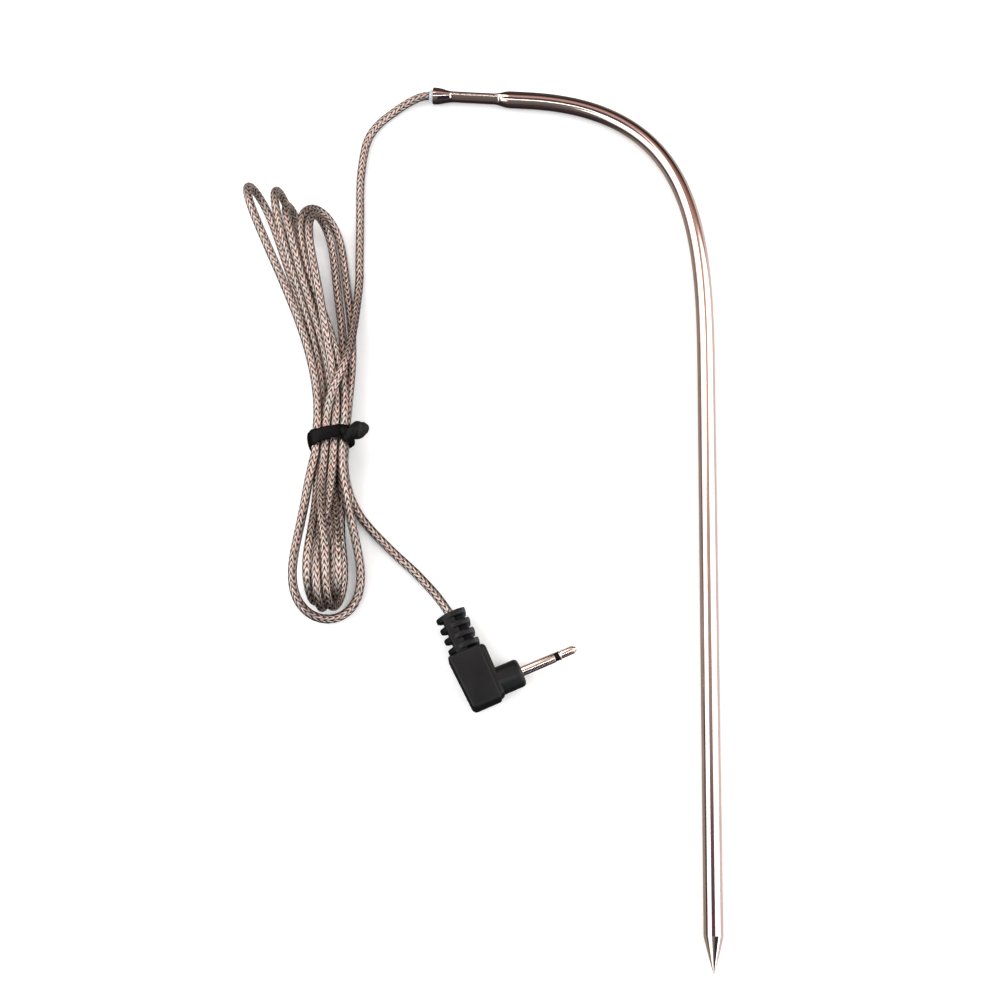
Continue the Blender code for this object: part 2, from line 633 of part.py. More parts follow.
make_sheath()
make_mouth()
make_point()
make_sensor()
make_probe_wires()
make_cable()
make_tie()
make_overmould()
make_premould()
make_jack()
make_plug_wiring()
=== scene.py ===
"""Looks of a braided-cable meat thermometer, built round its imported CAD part."""

import math

import bmesh
import bpy
import numpy as np
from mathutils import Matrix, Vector


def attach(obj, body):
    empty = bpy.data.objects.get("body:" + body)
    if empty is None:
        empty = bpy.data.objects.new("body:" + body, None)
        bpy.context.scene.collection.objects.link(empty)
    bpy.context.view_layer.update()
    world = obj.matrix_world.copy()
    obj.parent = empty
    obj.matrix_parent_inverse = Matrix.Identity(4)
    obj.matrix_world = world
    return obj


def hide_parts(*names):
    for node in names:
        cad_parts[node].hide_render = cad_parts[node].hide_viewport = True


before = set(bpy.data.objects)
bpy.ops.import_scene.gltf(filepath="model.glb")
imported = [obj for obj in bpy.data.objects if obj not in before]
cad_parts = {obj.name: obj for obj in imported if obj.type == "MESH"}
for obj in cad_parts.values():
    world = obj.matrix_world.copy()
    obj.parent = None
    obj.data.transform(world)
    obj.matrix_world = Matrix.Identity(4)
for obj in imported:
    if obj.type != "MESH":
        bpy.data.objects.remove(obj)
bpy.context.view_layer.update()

MM = 0.001
PROBE, TIE_BODY = "thermometer", "tie"
UP = (0, 0, 1)

# ---------------------------------------------------------------- camera

CAMERA_TARGET = Vector((-0.01653, -0.002905, 0.0))
CAMERA_DISTANCE = 0.372
CAMERA_AZIMUTH, CAMERA_ELEVATION = math.radians(1.8), math.radians(73)

camera_data = bpy.data.cameras.new("camera")
camera_data.lens = 50
camera_data.sensor_width = 36
camera_data.clip_start = 0.01
camera_data.clip_end = 20
camera = bpy.data.objects.new("camera", camera_data)
bpy.context.scene.collection.objects.link(camera)
back = Vector((math.sin(CAMERA_AZIMUTH) * math.cos(CAMERA_ELEVATION),
               -math.cos(CAMERA_AZIMUTH) * math.cos(CAMERA_ELEVATION), math.sin(CAMERA_ELEVATION)))
camera.location = CAMERA_TARGET + back * CAMERA_DISTANCE
camera.rotation_mode = "QUATERNION"
camera.rotation_quaternion = (-back).to_track_quat("-Z", "Y")
bpy.context.scene.camera = camera


# ---------------------------------------------------------------- meshes, worked in millimetres

def unit(v):
    """Vectors at length one."""
    return v / np.maximum(np.linalg.norm(v, axis=-1, keepdims=True), 1e-12)


def run_along(path):
    """Distance along a path at each of its points."""
    return np.concatenate([[0], np.cumsum(np.linalg.norm(np.diff(path, axis=0), axis=1))])


def resampled(path, spacing):
    """The path at an even spacing near the one asked for."""
    keep = np.concatenate([[True], np.linalg.norm(np.diff(path, axis=0), axis=1) > 1e-6])
    path = path[keep]
    run = run_along(path)
    at = np.linspace(0, run[-1], int(round(run[-1] / spacing)) + 1)
    return np.stack([np.interp(at, run, path[:, k]) for k in range(3)], 1)


def catmull(points, steps=10):
    """A smooth curve through the points."""
    p = np.array(points, float)
    p = np.vstack([2 * p[0] - p[1], p, 2 * p[-1] - p[-2]])
    t = np.linspace(0, 1, steps, endpoint=False)[:, None]
    spans = [0.5 * (2 * b + (c - a) * t + (2 * a - 5 * b + 4 * c - d) * t**2
                    + (3 * b - a - 3 * c + d) * t**3) for a, b, c, d in zip(p, p[1:], p[2:], p[3:])]
    return np.vstack([*spans, p[-2:-1]])


def carried_frames(path):
    """Two cross directions carried along a path without twist. The first starts upward."""
    way = unit(np.gradient(path, axis=0))
    up = np.empty_like(path)
    here = np.array(UP, float)
    for i, w in enumerate(way):
        here = here - w * (here @ w)
        here = here / np.linalg.norm(here)
        up[i] = here
    return up, np.cross(way, up)


def grid_faces(rows, columns, closed=False):
    """Quads between rows of points that close on themselves; closed joins the last row to the first."""
    r = np.arange(rows if closed else rows - 1)[:, None]
    c = np.arange(columns)[None, :]
    nr, nc = (r + 1) % rows, (c + 1) % columns
    quads = np.stack([r * columns + c, r * columns + nc, nr * columns + nc, nr * columns + c], -1)
    return quads.reshape(-1, 4)


def end_caps(rows, columns):
    """The two faces that close the first and last rows of points."""
    ring = np.arange(columns)
    return [ring[::-1], (rows - 1) * columns + ring]


def linked(name, mesh):
    """A mesh as an object in the scene."""
    obj = bpy.data.objects.new(name, mesh)
    bpy.context.scene.collection.objects.link(obj)
    return obj


def piece(name, points, faces, finish, body=PROBE, uv=None, sharp=40, extra=()):
    """A mesh object from points in millimetres that rides on a body. uv has one pair per quad corner."""
    mesh = bpy.data.meshes.new(name)
    everything = [list(map(int, f)) for f in faces] + [list(map(int, f)) for f in extra]
    mesh.from_pydata((np.asarray(points) * MM).tolist(), [], everything)
    if uv is not None:
        layer = mesh.uv_layers.new(name="run")
        flat = np.zeros((len(mesh.loops), 2), np.float32)
        flat[:len(uv)] = uv
        layer.data.foreach_set("uv", flat.ravel())
    mesh.validate()
    obj = linked(name, mesh)
    finished(obj, finish, body, sharp)
    return obj


def finished(obj, finish, body, sharp):
    """Gives a piece its material and its body, smooth but for edges sharper than an angle."""
    obj.data.materials.clear()
    obj.data.materials.append(finish)
    obj.data.shade_smooth()
    if sharp:
        obj.data.set_sharp_from_angle(angle=math.radians(sharp))
    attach(obj, body)


def swept(path, offsets, along=None):
    """Points, quads, end caps and quad UVs of a tube whose rings have these (up, across) offsets. The UVs go
    round the tube and as far along it as is given for each ring."""
    up, across = carried_frames(path)
    points = path[:, None] + up[:, None] * offsets[..., :1] + across[:, None] * offsets[..., 1:]
    rows, columns = points.shape[:2]
    uv = None
    if along is not None:
        r, c = np.divmod(np.arange((rows - 1) * columns), columns)
        corners = [(c, r), (c + 1, r), (c + 1, r + 1), (c, r + 1)]
        uv = np.stack([np.stack([a / columns, along[b]], -1) for a, b in corners], 1).reshape(-1, 2)
    return points.reshape(-1, 3), grid_faces(rows, columns), end_caps(rows, columns), uv


def circle(sides):
    """Points round a circle of radius one."""
    a = np.arange(sides) * 2 * np.pi / sides
    return np.stack([np.cos(a), np.sin(a)], -1)


def lathe(profile, sides=48):
    """Points and faces of a solid turned about +X from (x, radius) points, closed with end caps."""
    x, r = np.array(profile, float).T
    ring = circle(sides)
    points = np.concatenate([np.broadcast_to(x[:, None, None], (len(x), sides, 1)),
                             r[:, None, None] * ring[None]], -1)
    caps = [cap[::-1] for cap in end_caps(len(x), sides)]
    return points.reshape(-1, 3), grid_faces(len(x), sides)[:, ::-1], caps


def rounded(corners, radius, steps=5):
    """(x, radius) profile with its inner corners rounded."""
    p = np.array(corners, float)
    out = [p[0]]
    for a, b, c in zip(p, p[1:], p[2:]):
        cut = min(radius, np.linalg.norm(a - b) / 2.2, np.linalg.norm(c - b) / 2.2)
        s, e = b + unit(a - b) * cut, b + unit(c - b) * cut
        t = np.linspace(0, 1, steps)[:, None]
        out += list((1 - t) ** 2 * s + 2 * t * (1 - t) * b + t * t * e)
    return np.array(out + [p[-1]])


def pointed(points, way, at):
    """Points with their +X turned to a way, moved to a place."""
    side = unit(np.cross(UP, way))
    return points @ np.array([way, side, np.cross(way, side)]) + np.array(at)


def ramped(value, low, high):
    """0 below low, 1 above high, and smooth between."""
    t = np.clip((value - low) / (high - low), 0, 1)
    return t * t * (3 - 2 * t)


def store_painted_highlight(obj, amount):
    """Stores how much painted highlight each point of a piece gets, 0 to 1, as its wear attribute."""
    layer = obj.data.attributes.new("wear", "FLOAT", "POINT")
    layer.data.foreach_set("value", np.asarray(amount, np.float32))


# ---------------------------------------------------------------- materials

class Graph:
    """A node tree, with short calls for the nodes used here."""

    def __init__(self, tree):
        self.tree = tree

    def node(self, kind, *inputs, **settings):
        made = self.tree.nodes.new(kind)
        for key, value in settings.items():
            setattr(made, key, value)
        for i, value in enumerate(inputs):
            self.put(made.inputs[i], value)
        return made

    def put(self, socket, value):
        if isinstance(value, bpy.types.NodeSocket):
            self.tree.links.new(value, socket)
        elif value is not None:
            socket.default_value = value

    def math(self, operation, *values):
        return self.node("ShaderNodeMath", *values, operation=operation).outputs[0]

    def wave(self, value, turns):
        """0.5 + 0.5 cos of a value in turns."""
        angle = self.math("MULTIPLY", value, 2 * math.pi * turns)
        return self.math("MULTIPLY_ADD", self.math("COSINE", angle), 0.5, 0.5)

    def eased(self, value, start, end):
        """0 at start, 1 at end, and smooth between."""
        return self.node("ShaderNodeMapRange", value, start, end, interpolation_type="SMOOTHSTEP").outputs[0]

    def split(self, where):
        """X, Y and Z of a place or a direction."""
        return self.node("ShaderNodeSeparateXYZ", self.node("ShaderNodeTexCoord").outputs[where]).outputs

    def noise(self, scale, detail=3.0, rough=0.55, stretch=None):
        place = self.node("ShaderNodeTexCoord").outputs["Object"]
        if stretch:
            place = self.node("ShaderNodeMapping", place, None, None, stretch).outputs[0]
        made = self.node("ShaderNodeTexNoise")
        for key, value in (("Vector", place), ("Scale", scale), ("Detail", detail), ("Roughness", rough)):
            self.put(made.inputs[key], value)
        return made.outputs["Fac"]

    def ramp(self, value, *stops):
        """Colours or grey levels at positions; each stop is (position, colour)."""
        made = self.node("ShaderNodeValToRGB", value)
        points = made.color_ramp.elements
        while len(points) < len(stops):
            points.new(0.5)
        for point, (position, colour) in zip(points, stops):
            point.position = position
            point.color = (*((colour,) * 3 if isinstance(colour, (int, float)) else colour), 1)
        return made.outputs[0]

    def mix(self, factor, a, b, blend="MIX"):
        made = self.node("ShaderNodeMix", data_type="RGBA", blend_type=blend)
        for key, value in ((0, factor), (6, a), (7, b)):
            if isinstance(value, tuple):
                value = (*value, 1)
            self.put(made.inputs[key], value)
        return made.outputs[2]

    def bump(self, height, distance, strength=1.0):
        made = self.node("ShaderNodeBump")
        for key, value in (("Strength", strength), ("Distance", distance), ("Height", height)):
            self.put(made.inputs[key], value)
        return made.outputs[0]


class Finish(Graph):
    """A new material's node tree. Sockets of its shader are named with _ for a space."""

    def __init__(self, name, **sockets):
        self.material = bpy.data.materials.new(name)
        self.material.use_nodes = True
        super().__init__(self.material.node_tree)
        self.shader = self.tree.nodes["Principled BSDF"]
        self.set(**sockets)

    def set(self, **sockets):
        for socket, value in sockets.items():
            self.put(self.shader.inputs[socket.replace("_", " ")], value)
        return self.material


def shade(tint, amount):
    """A colour made darker or lighter."""
    return tuple(c * amount for c in tint)


def steel_finish(name, tint, rough, along=(1.0, 1.0, 1.0), grain=0.000002, wear=1.0):
    """Polished metal with fine drawn lines along a direction, and cloudy wear."""
    g = Finish(name, Metallic=1.0)
    cloud = g.noise(90.0, 4.0, 0.6)
    lines = g.noise(2600.0, 3.0, 0.6, along)
    fine = g.noise(5200.0, 2.0, 0.7)
    colour = g.mix(g.ramp(cloud, (0.35, 0.0), (0.7, 1.0)), shade(tint, 0.9), tint)
    colour = g.mix(g.ramp(lines, (0.3, 0.35 * wear), (0.5, 0.0)), colour, shade(tint, 0.72))
    level = g.math("MULTIPLY_ADD", lines, 0.08 * wear, rough - 0.04 * wear)
    level = g.math("MULTIPLY_ADD", cloud, 0.04, level)
    normal = g.bump(g.math("ADD", lines, g.math("MULTIPLY", fine, 0.4)), grain, 0.6)
    return g.set(Base_Color=colour, Roughness=level, Normal=normal)


def plastic_finish(name, tint, rough, grain, grain_scale, lift=1.6, specular=0.5, painted_highlight=None):
    """Moulded plastic or rubber: a fine grain, slight handling marks lighter by a lift, and where the piece
    stores wear, a lighter colour that is a painted highlight."""
    g = Finish(name, Specular_IOR_Level=specular)
    fine = g.noise(grain_scale, 3.0, 0.6)
    cloud = g.noise(160.0, 4.0, 0.6)
    marks = g.noise(700.0, 4.0, 0.75)
    colour = g.mix(g.ramp(cloud, (0.35, 0.0), (0.7, 1.0)), tint, shade(tint, lift))
    colour = g.mix(g.ramp(marks, (0.6, 0.0), (0.72, 0.35)), colour, shade(tint, lift * 1.9))
    # Painted highlight: where the piece stores wear, a lighter colour is mixed in, in patches
    if painted_highlight:
        wear = g.node("ShaderNodeAttribute", attribute_name="wear").outputs["Fac"]
        patchy = g.ramp(marks, (0.35, 0.55), (0.6, 1.0))
        colour = g.mix(g.math("MULTIPLY", wear, patchy), colour, painted_highlight)
    level = g.math("MULTIPLY_ADD", fine, 0.12, rough - 0.06)
    level = g.math("MULTIPLY_ADD", cloud, 0.1, level)
    return g.set(Base_Color=colour, Roughness=level, Normal=g.bump(fine, grain, 0.8))


BRAID_CARRIERS = 8          # strands each way round the cable
BRAID_STEP = 1.75           # mm along the cable from one strand to the next
BRAID_LIFT = 0.6            # how far a strand on top stands over one beneath
BRAID_CREST = 1.45          # the height of a strand above which nothing is taken off its radius
WIRES_PER_STRAND = 5


def braid_finish():
    """Stainless braid, two strands over and two under, read from the piece's own run of UVs."""
    g = Finish("braided_steel", Metallic=1.0)
    where = g.node("ShaderNodeUVMap", uv_map="run").outputs[0]
    turns, steps, _ = g.node("ShaderNodeSeparateXYZ", where).outputs
    # The strands wander a little from an even lay
    u = g.math("MULTIPLY_ADD", turns, float(BRAID_CARRIERS), g.math("MULTIPLY", g.noise(520.0, 1.0), 0.36))
    v = g.math("MULTIPLY_ADD", g.noise(380.0, 2.0), 0.7, steps)
    a, b = g.math("SUBTRACT", u, v), g.math("ADD", u, v)
    layer = g.math("SINE", g.math("MULTIPLY", u, math.pi))
    high_a = g.math("MULTIPLY_ADD", layer, BRAID_LIFT, g.wave(a, 1))
    high_b = g.math("MULTIPLY_ADD", layer, -BRAID_LIFT, g.wave(b, 1))
    height = g.math("MAXIMUM", high_a, high_b)
    first = g.math("GREATER_THAN", high_a, high_b)
    wires_a, wires_b = g.wave(a, WIRES_PER_STRAND), g.wave(b, WIRES_PER_STRAND)
    wires = g.node("ShaderNodeMix", first, None, wires_b, wires_a, data_type="FLOAT").outputs[0]
    tone = g.noise(900.0, 2.0, 0.6)
    warmth = g.noise(420.0, 2.0, 0.5)
    metal = g.mix(g.ramp(warmth, (0.42, 0.0), (0.58, 1.0)), (0.79, 0.69, 0.62), (0.67, 0.69, 0.63))
    # Painted shade: the strands of one lay are darker than those of the other
    metal = g.mix(g.ramp(first, (0.0, 0.22), (1.0, 0.0)), metal, (0.36, 0.27, 0.24))
    metal = g.mix(g.ramp(tone, (0.35, 0.45), (0.62, 0.0)), metal, (0.34, 0.20, 0.17))
    # Painted shade in the grooves between the wires of a strand
    metal = g.mix(g.ramp(wires, (0.0, 0.4), (0.5, 0.0)), metal, (0.28, 0.20, 0.18))
    # Painted shade in the gaps between strands, dark where no strand is high
    colour = g.mix(g.ramp(height, (0.52, 1.0), (1.10, 0.0)), metal, (0.050, 0.021, 0.019))
    level = g.math("MULTIPLY_ADD", tone, 0.16, 0.34)
    relief = g.math("MULTIPLY_ADD", wires, 0.16, height)
    return g.set(Base_Color=colour, Roughness=level, Normal=g.bump(relief, 0.00010, 1.0))


def braid_end_finish():
    """The same braid where only a cut end of it can be seen."""
    g = Finish("braid_end", Metallic=1.0)
    strands = g.noise(2400.0, 2.0, 0.6, (1.0, 0.35, 1.0))
    colour = g.ramp(strands, (0.35, (0.05, 0.035, 0.03)), (0.6, (0.42, 0.37, 0.33)))
    level = g.math("MULTIPLY_ADD", strands, 0.2, 0.25)
    return g.set(Base_Color=colour, Roughness=level, Normal=g.bump(strands, 0.00008, 0.9))


def mottled_finish(name, light, dark):
    """Silicone, glass-fibre sleeving or fired potting: pale, matt and slightly mottled."""
    g = Finish(name)
    weave = g.noise(3000.0, 2.0, 0.6)
    cloud = g.noise(500.0, 3.0, 0.6)
    colour = g.mix(g.ramp(cloud, (0.35, 0.0), (0.65, 1.0)), dark, light)
    colour = g.mix(g.ramp(weave, (0.35, 0.4), (0.55, 0.0)), colour, dark)
    level = g.math("MULTIPLY_ADD", weave, 0.2, 0.5)
    return g.set(Base_Color=colour, Roughness=level, Normal=g.bump(weave, 0.00004, 0.8))


STEEL = steel_finish("drawn_steel", (0.67, 0.61, 0.57), 0.09, along=(1.0, 0.06, 1.0), grain=0.0000010, wear=0.25)
NICKEL = steel_finish("nickel_plate", (0.90, 0.82, 0.74), 0.17, grain=0.0000001, wear=0.06)
TINNED = steel_finish("tinned_copper", (0.62, 0.60, 0.57), 0.32, grain=0.00001)
BRAID = braid_finish()
BRAID_END = braid_end_finish()
# The moulding's lighter colour is a painted highlight on the fins' right ends and the collar's rim
PLASTIC = plastic_finish("charcoal_moulding", (0.0042, 0.0048, 0.0053), 0.36, grain=0.00002, grain_scale=3600.0,
                         lift=1.7, specular=0.22, painted_highlight=(0.050, 0.054, 0.058))
RING = plastic_finish("ring_plastic", (0.0015, 0.0015, 0.0017), 0.30, grain=0.00001, grain_scale=3000.0,
                      specular=0.12)
# The tie's lighter colour is painted sheen on its twisted tail
TIE = plastic_finish("tie_coating", (0.0012, 0.0012, 0.0014), 0.38, grain=0.00003, grain_scale=1800.0,
                     lift=1.5, specular=0.10, painted_highlight=(0.020, 0.018, 0.018))
LINER = mottled_finish("pale_blue_liner", (0.60, 0.68, 0.74), (0.46, 0.54, 0.62))
SLEEVING = mottled_finish("glass_sleeving", (0.72, 0.69, 0.60), (0.48, 0.45, 0.38))
POTTING = mottled_finish("fired_potting", (0.62, 0.58, 0.50), (0.45, 0.42, 0.36))
GLASS = plastic_finish("bead_glass", (0.06, 0.02, 0.012), 0.12, grain=0.000004, grain_scale=1500.0)


# ---------------------------------------------------------------- the probe's centre line, as in the CAD part

TUBE_R, TUBE_WALL = 2.38, 0.5
SHAFT_X, TIP_Y, CONE_LENGTH = 38.745, -121.485, 8.8
CONE_Y = TIP_Y + CONE_LENGTH
BEND_END = np.array([SHAFT_X, 30.215])
BEND_START = BEND_END + np.array([-51.0, 88.15])
BEND_HANDLES = (42.9, 51.5)
LEAD_SLOPE = math.radians(-1.53)
LEAD_LENGTH = 27.7
LEAD_WAY = np.array([math.cos(LEAD_SLOPE), math.sin(LEAD_SLOPE)])
MOUTH = BEND_START - LEAD_WAY * LEAD_LENGTH
LINER_R, LINER_OUT, LINER_IN = (1.35, 1.66), 0.95, 1.6
CABLE_R = 1.2

# ---------------------------------------------------------------- the cable's route

CORD_D = 2 * CABLE_R
FLOOR_GAP = 1.22                     # height of the centre line where the cable lies on the floor
FOLD_LOW = 1.25                      # and at the lowest point of a fold
TIE_X, TIE_Y = -62.2, 11.0
WAIST_HALF_LENGTH, WAIST_REACH = 5.5, 7.2
STRAIGHT = 0.8                       # how much of the waist's length the strands run straight in
LEG_PULL = 0.9                       # how firmly a leg keeps its way out of the waist
FIRST_SLOT = "t2"
ROUTE_SPACING = 1.2
LEAD_IN = [(-43.7, 118.6, 2.2), (-47.7, 116.5, 1.7), (-51.3, 113.7, 1.35), (-54.6, 110.6, 1.25),
           (-57.0, 107.3, 1.22), (-58.4, 103.8, 1.22), (-59.0, 100.2, 1.22), (-59.35, 96.3, 1.22),
           (-59.5, 92.2, 1.22), (-59.4, 86.9, 1.22), (-59.0, 80.6, 1.22), (-58.5, 70.2, 1.22),
           (-58.2, 64.0, 1.22), (-57.9, 59.0, 1.3)]
OVER = [(-58.4, 52.5, 2.6), (-58.5, 46.0, 4.4), (-58.5, 38.0, 7.0), (-59.3, 30.5, 8.8), (-60.9, 24.0, 9.2)]
LEAD_OUT = [(-53.4, -9.3, 1.22), (-50.2, -12.9, 1.22), (-46.3, -16.7, 1.22), (-42.6, -20.1, 1.22),
            (-39.0, -23.2, 1.35), (-35.6, -26.6, 1.9), (-32.5, -30.0, 2.9), (-30.1, -33.1, 3.8)]

# Strands lie in the tie as rows of four, three and four: bottom, middle and top
ROW_PITCH = CORD_D + 0.02
ROW_RISE = ROW_PITCH * math.sqrt(3) / 2
ROW_LOW = 3.25
SLOTS = {f"{row}{i + 1}": (TIE_X + (i - (count - 1) / 2) * ROW_PITCH, ROW_LOW + ROW_RISE * level)
         for level, (row, count) in enumerate((("b", 4), ("m", 3), ("t", 4))) for i in range(count)}

# Each loop: side of the tie, apex x and y, radius, lean in degrees, the slots of its upper and lower legs,
# and how far the middle of its lower leg bulges to the right
LOOPS = {
    "A": (1, -88.8, 84.0, 7.2, 15, "t1", "b1", 0), "B": (1, -81.0, 82.7, 7.2, 12, "m1", "b2", 0),
    "C": (1, -77.9, 78.0, 7.2, 8, "m2", "b3", 0), "D": (1, -69.6, 75.9, 7.2, 19, "t3", "m3", 1.0),
    "E": (1, -69.6, 77.8, 8.0, 35, "t4", "b4", 1.8), "G1": (-1, -59.3, -35.0, 7.2, 8, "t2", "m3", 0),
    "G2": (-1, -61.1, -35.5, 7.2, 5, "t3", "m2", 0), "G3": (-1, -57.7, -33.5, 7.2, -15, "b3", "b2", 0),
    "G4": (-1, -62.6, -34.0, 7.2, 10, "m1", "b1", 0), "F": (-1, -60.4, -37.9, 8.9, 70, "t1", "t4", 0),
}
LOOP_ORDER = ("G1", "D", "G2", "C", "G3", "B", "G4", "A", "F", "E")


def hermite(a, a_way, b, b_way, steps):
    """A curve from a to b that leaves and arrives along these ways."""
    t = np.linspace(0, 1, steps)[:, None]
    return ((2 * t**3 - 3 * t**2 + 1) * a + (t**3 - 2 * t**2 + t) * a_way
            + (-2 * t**3 + 3 * t**2) * b + (t**3 - t**2) * b_way)


def at_slot(name, y):
    """The point in a slot at this distance along the hank."""
    x, z = SLOTS[name]
    return np.array([x, y, z])


def loop_points(side, apex_x, apex_y, radius, lean, upper, lower, bulge):
    """One loop of the hank, from its upper slot over the fold to its lower slot."""
    edge = TIE_Y + side * WAIST_HALF_LENGTH
    out = unit(np.array([apex_x - TIE_X, apex_y - edge, 0.0]))
    across = np.array([side * out[1], -side * out[0], 0.0])
    tilt = math.radians(lean)
    rise = -across * math.sin(tilt) + np.array([0, 0, math.cos(tilt)])
    centre = np.array([apex_x, apex_y, 0]) - radius * out
    centre[2] = FOLD_LOW + radius * abs(math.cos(tilt))
    turn = np.radians(np.linspace(90, -90, 19))[:, None]
    fold = centre + radius * (np.cos(turn) * out + np.sin(turn) * rise)

    def leg(slot, end, bulge=0.0):
        start = at_slot(slot, edge)
        reach = np.linalg.norm(end - start)
        points = hermite(start, np.array([0, side, 0]) * reach * LEG_PULL, end, out * reach, 40)
        points[:, 0] += bulge * np.sin(np.linspace(0, np.pi, len(points))) ** 2
        return points

    return np.vstack([leg(upper, fold[0]), fold[1:-1], leg(lower, fold[-1], bulge)[::-1]])


def cable_route():
    """The whole free cable before its strands are settled."""
    mouth = np.array([*MOUTH, TUBE_R]) - np.array([*LEAD_WAY, 0]) * LINER_OUT
    here = FIRST_SLOT
    parts = [catmull([mouth, *LEAD_IN, *OVER, at_slot(here, TIE_Y + WAIST_HALF_LENGTH)])]
    for name in LOOP_ORDER:
        side, *_, upper, lower, _ = LOOPS[name]
        inside = STRAIGHT * WAIST_HALF_LENGTH * side
        parts.append(np.array([at_slot(here, TIE_Y - inside), at_slot(here, TIE_Y + inside)]))
        points = loop_points(*LOOPS[name])
        parts.append(points if here == upper else points[::-1])
        here = lower if here == upper else upper
    inside = STRAIGHT * WAIST_HALF_LENGTH
    parts.append(np.array([at_slot(here, TIE_Y + inside), at_slot(here, TIE_Y - inside)]))
    start, end = at_slot(here, TIE_Y - WAIST_HALF_LENGTH), np.array(LEAD_OUT[0])
    way_out = unit(np.array(LEAD_OUT[1]) - end)
    reach = np.linalg.norm(end - start) * LEG_PULL
    parts.append(hermite(start, np.array([0, -1.0, 0]) * reach, end, way_out * reach, 20))
    relief = in_plug(np.array([[0, RELIEF_END, 0.0]]))[0]
    parts.append(catmull([*LEAD_OUT, relief])[1:])
    return resampled(np.vstack(parts), ROUTE_SPACING)


def settle(start, rounds=500, least_bend=6.3, bend_from=60, ceiling=15.75):
    """Lays the strands beside and on each other: bent as little as they can be, a diameter apart, on the floor.
    From one round on, no bend may be tighter than the least."""
    p = start.copy()
    count = len(p)
    step = np.linalg.norm(np.diff(p, axis=0), axis=1).mean()
    held = (abs(p[:, 1] - TIE_Y) < WAIST_HALF_LENGTH) & (p[:, 0] < TIE_X + WAIST_REACH)
    held[:np.argmax(np.linalg.norm(p - LEAD_IN[-1], axis=1) < step)] = True
    held[count - 1 - np.argmax(np.linalg.norm(p[::-1] - LEAD_OUT[0], axis=1) < step):] = True
    apart = CORD_D * 1.01
    beyond = int(round(2.2 * CORD_D / step))        # points nearer than this along the cable may be close
    spread = np.array([1, 2, 3, 2, 1]) / 9
    for i in range(rounds):
        if i % 8 == 0:
            gap = ((p[:, None] - p[None]) ** 2).sum(2)
            one, two = np.where(np.triu(gap < (2 * CORD_D) ** 2, beyond))
        q = p.copy()
        # Less bent, over short and longer stretches
        for s, weight in ((1, 0.8), (3, 0.5)):
            q[2 * s:-2 * s] += weight / 16 * (-q[:-4 * s] + 4 * q[s:-3 * s] - 6 * q[2 * s:-2 * s]
                                              + 4 * q[3 * s:-s] - q[4 * s:])
        if i > bend_from:
            for half in (3, 5):
                least = 2 * least_bend * math.sin(half * step / least_bend)
                chord = q[2 * half:] - q[:-2 * half]
                size = np.linalg.norm(chord, axis=1, keepdims=True)
                move = chord / size * np.clip(least - size, 0, 0.5) * 0.1
                q[2 * half:] += move
                q[:-2 * half] -= move
        q[held] = start[held]
        # Strands that overlap push each other apart
        for _ in range(2):
            between = q[two] - q[one]
            size = np.linalg.norm(between, axis=1) + 1e-9
            hit = size < apart
            move = between[hit] / size[hit][:, None] * (apart - size[hit])[:, None] / 2
            push, touches = np.zeros_like(q), np.zeros(count)
            for ends, sign in ((one[hit], -1), (two[hit], 1)):
                np.add.at(push, ends, sign * move)
                np.add.at(touches, ends, 1)
            push /= np.maximum(touches, 1)[:, None]
            q += 0.5 * push + 0.5 * np.stack([np.convolve(push[:, k], spread, "same") for k in range(3)], 1)
        # A little back towards where they started, and between the floor and the ceiling
        q += (start - q) * 0.004
        q[:, 2] = np.clip(q[:, 2], FLOOR_GAP, ceiling)
        q[held] = start[held]
        # Each stretch back towards its own length
        for _ in range(3):
            edge = q[1:] - q[:-1]
            size = np.linalg.norm(edge, axis=1, keepdims=True)
            move = edge / size * (size - step) * 0.225
            q[:-1] += move
            q[1:] -= move
            q[held] = start[held]
        p = q
    return p


PLUG_AT, PLUG_YAW = np.array([-19.5, -54.5, 4.3]), math.radians(25.2)
RELIEF_END = 21.0


def in_plug(points):
    """Points of the plug's own frame, +X along the pin and +Y towards the cable, in the row frame."""
    c, s = math.cos(PLUG_YAW), math.sin(PLUG_YAW)
    return np.asarray(points) @ np.array([[c, s, 0], [-s, c, 0], [0, 0, 1]]) + PLUG_AT


CORD_SIDES = 24
BRAID_R = 1.18
RING_SPACING = BRAID_STEP / 4
RELIEF = 0.06               # how much lower the gaps between strands lie than the strands on top


def wave(turns):
    """0.5 + 0.5 cos of a value in turns."""
    return 0.5 + 0.5 * np.cos(2 * np.pi * turns)


cable_line = resampled(catmull(settle(cable_route()), 4), RING_SPACING)
steps = run_along(cable_line) / BRAID_STEP
u, v = np.arange(CORD_SIDES)[None] / CORD_SIDES * BRAID_CARRIERS, steps[:, None]
over = BRAID_LIFT * np.sin(np.pi * u)
height = np.maximum(wave(u - v) + over, wave(u + v) - over)
radius = BRAID_R - RELIEF * np.clip(BRAID_CREST - height, 0, 1)
points, faces, caps, uv = swept(cable_line, circle(CORD_SIDES)[None] * radius[..., None], steps)
cord = piece("braided_cable", points, faces, BRAID, uv=uv, sharp=0, extra=caps)
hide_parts("cable_lead_in", "cable_hank", "cable_lead_out")


# ---------------------------------------------------------------- probe sheath, crimp and point

# Distances from the mouth, and the half sizes of the squeezed neck across and up
RIM_LENGTH, NECK, CRIMP_END, NECK_HALF = 0.8, (6.0, 17.8), 22.5, (1.4, 1.87)
RIM_BREAK = 0.12                    # how far the rim's edge is rounded off
FACET = (4.85, 19.95)               # where the die's flats start and end
FACET_TURN = math.radians(45)       # the flats' lean from upright
FACET_DEPTH = 1.47                  # from the centre line
FACET_EDGE = 3.5                    # how crisp the flats' long edges are
FACET_START, FACET_FADE = 1.2, 0.2  # a flat starts this far outside the tube and sinks to its depth this fast
SHEATH_SIDES = 128
LEAD_RINGS, BEND_RINGS, SHAFT_RINGS = 198, 91, 61


